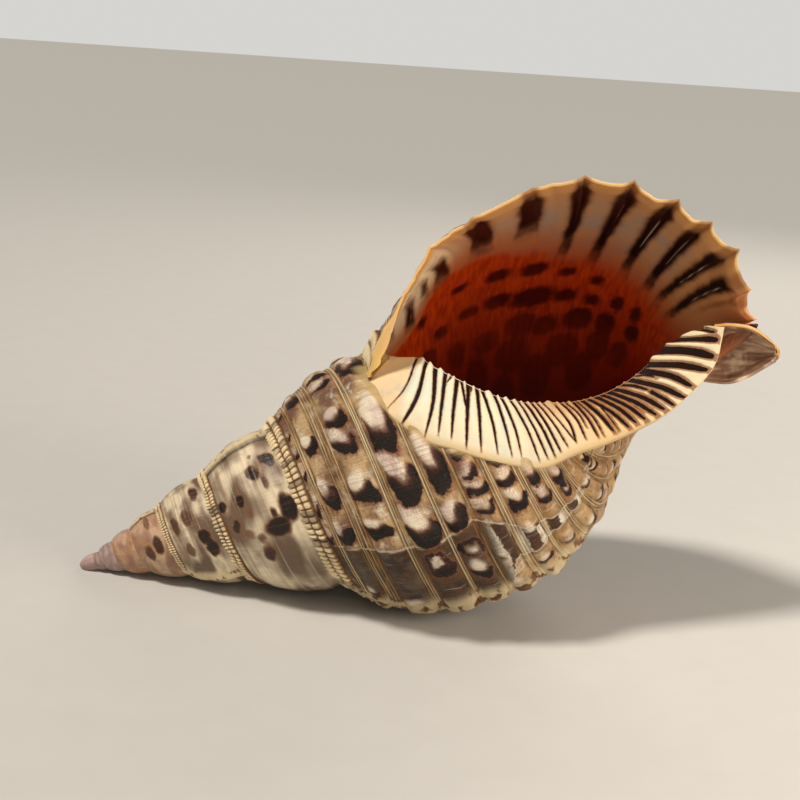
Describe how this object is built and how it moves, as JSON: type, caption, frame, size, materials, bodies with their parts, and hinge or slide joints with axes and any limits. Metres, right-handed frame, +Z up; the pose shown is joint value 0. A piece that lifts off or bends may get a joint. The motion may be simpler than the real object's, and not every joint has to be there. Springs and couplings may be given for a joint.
{
  "type": "triton shell",
  "caption": "Large spiral sea snail shell with a tall pointed spire, a wide flared mouth with a scalloped outer lip, and a ribbed inner lip that ends in a short canal.",
  "frame": {"origin": "centre of the shell's outer size in plan, at the level it rests on", "axes": "+Z up as the shell rests, +X from the spire tip to the canal end, mouth facing -Y and up"},
  "size_m": [0.2498, 0.1132, 0.1626],
  "materials": {
    "natural_shell": null
  },
  "bodies": {
    "root": {"shell": "natural_shell"}
  },
  "joints": []
}
